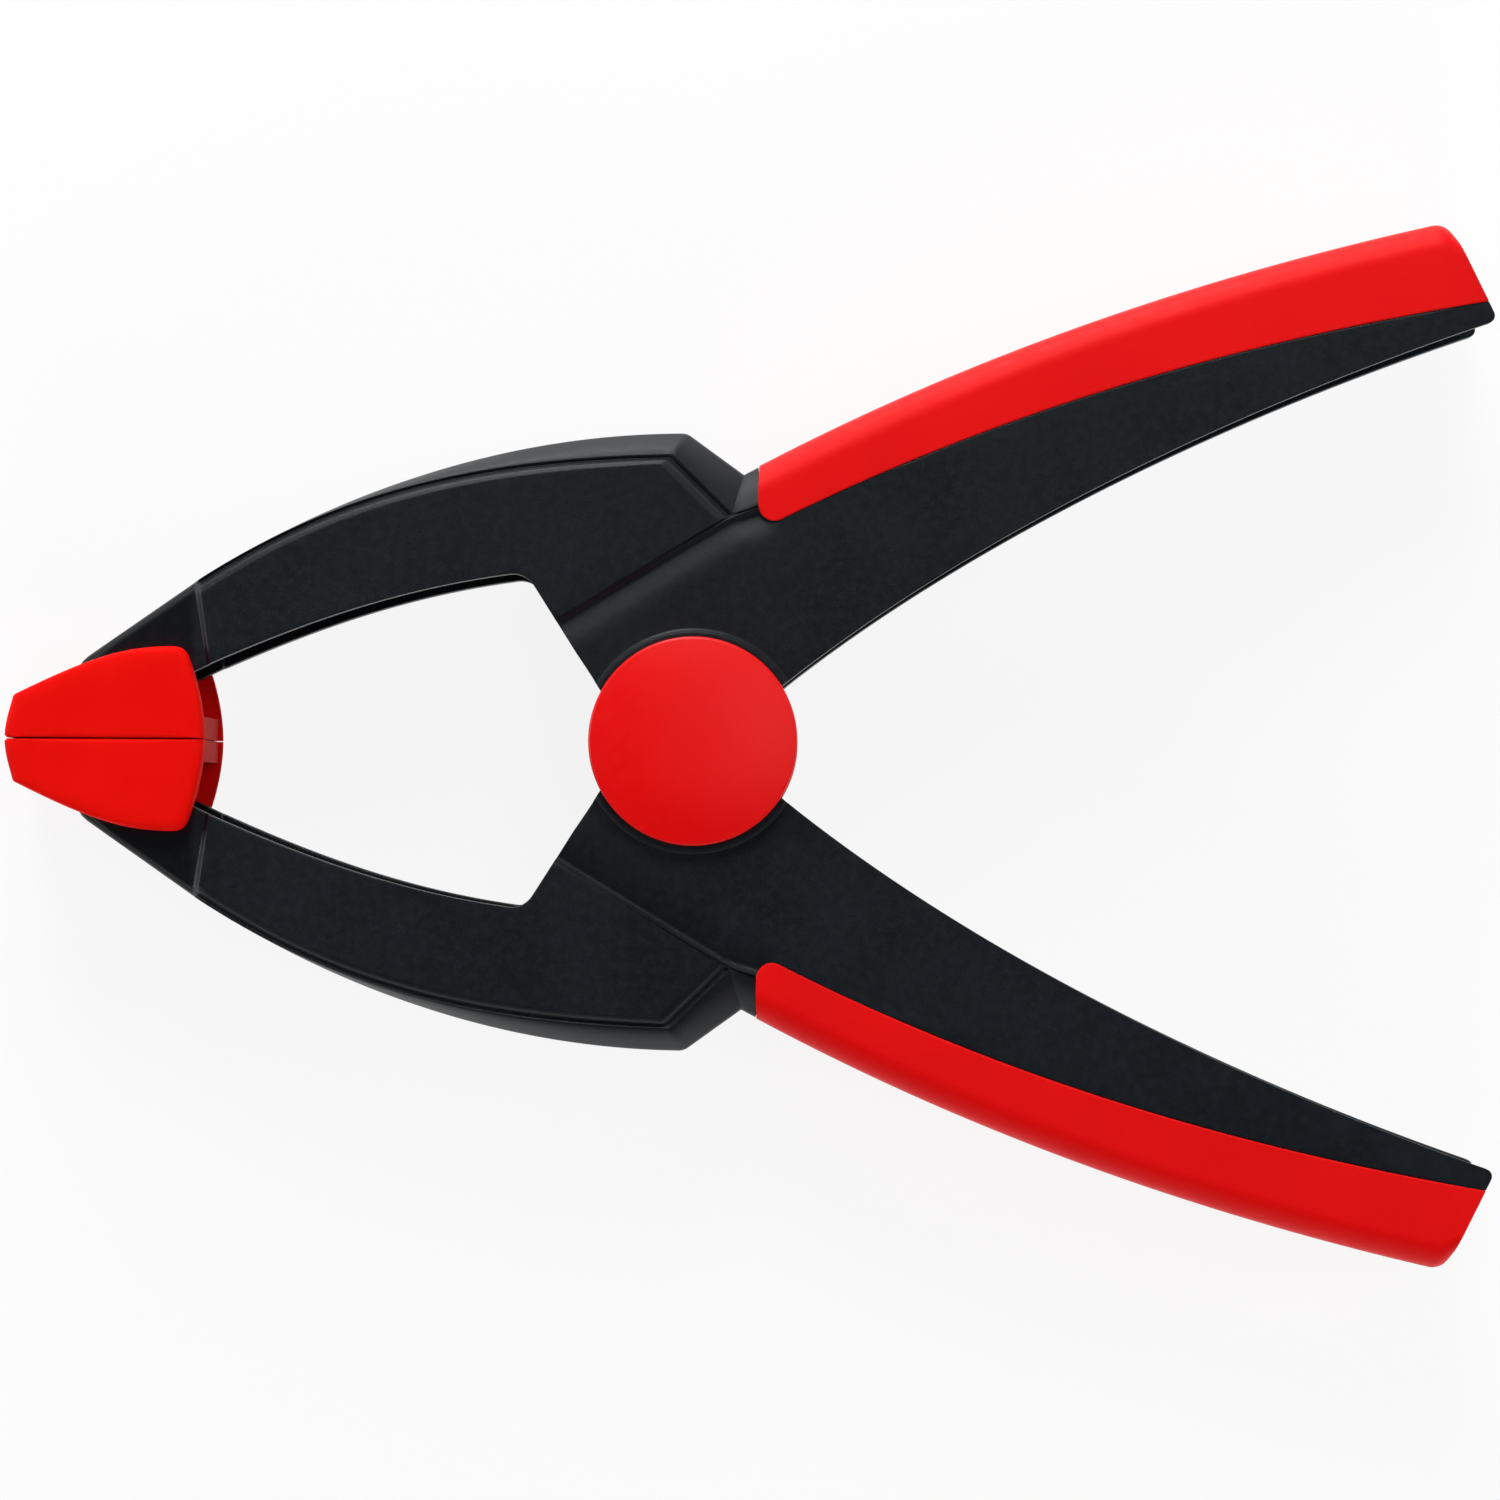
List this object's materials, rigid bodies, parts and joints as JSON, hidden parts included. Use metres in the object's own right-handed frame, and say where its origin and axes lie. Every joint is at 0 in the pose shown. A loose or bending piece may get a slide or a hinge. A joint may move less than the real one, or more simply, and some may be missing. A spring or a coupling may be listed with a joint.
{
  "type": "spring clamp",
  "caption": "Plastic spring clamp: U-channel arms crossing on a pivot pin under domed caps, inner torsion spring, soft handle grips and swivelling jaw pads",
  "frame": {"origin": "on the pivot axis, in the plane that the rear pivot cap rests on when the clamp lies on its side", "axes": "+X from the pivot toward the handle ends (the jaws point to -X), +Y toward the upper arm, +Z along the pivot out of the front cap"},
  "size_m": [0.179, 0.1254, 0.028],
  "materials": {
    "arm_black": "fine moulded grain, glass-filled nylon",
    "grip_red": "satin soft elastomer",
    "pad_orange_red": "matte soft plastic",
    "cap_red": "satin moulded plastic",
    "spring_steel": "drawn wire, bright zinc",
    "pin_steel": "turned, zinc plated",
    "sleeve_grey": "moulded acetal"
  },
  "bodies": {
    "lower": {"lower_arm": "arm_black", "lower_grip": "grip_red", "pivot_pin": "pin_steel", "pin_retainer": "pin_steel", "spring_sleeve": "sleeve_grey", "torsion_spring": "spring_steel", "front_cap": "cap_red", "rear_cap": "cap_red"},
    "upper": {"upper_arm": "arm_black", "upper_grip": "grip_red"},
    "upper_pad": {"upper_pad": "pad_orange_red"},
    "lower_pad": {"lower_pad": "pad_orange_red"}
  },
  "joints": [
    {"name": "jaw_open", "type": "hinge", "parent": "lower", "child": "upper", "pos_m": [0, 0, 0.014], "axis": [0, 0, -1], "range_deg": [0, 50], "stiffness_Nm_per_rad": 2.1, "springref_deg": -28.65, "deforming": ["torsion_spring"]},
    {"name": "upper_pad_swivel", "type": "hinge", "parent": "upper", "child": "upper_pad", "pos_m": [-0.0707, 0.0066, 0.014], "axis": [0, 0, 1], "range_deg": [0, 25]},
    {"name": "lower_pad_swivel", "type": "hinge", "parent": "lower", "child": "lower_pad", "pos_m": [-0.0707, -0.0066, 0.014], "axis": [0, 0, -1], "range_deg": [0, 25]}
  ],
  "couplings": [
    {"joint": "upper_pad_swivel", "follows": "jaw_open", "ratio": 0.5},
    {"joint": "lower_pad_swivel", "follows": "jaw_open", "ratio": 0.5}
  ]
}
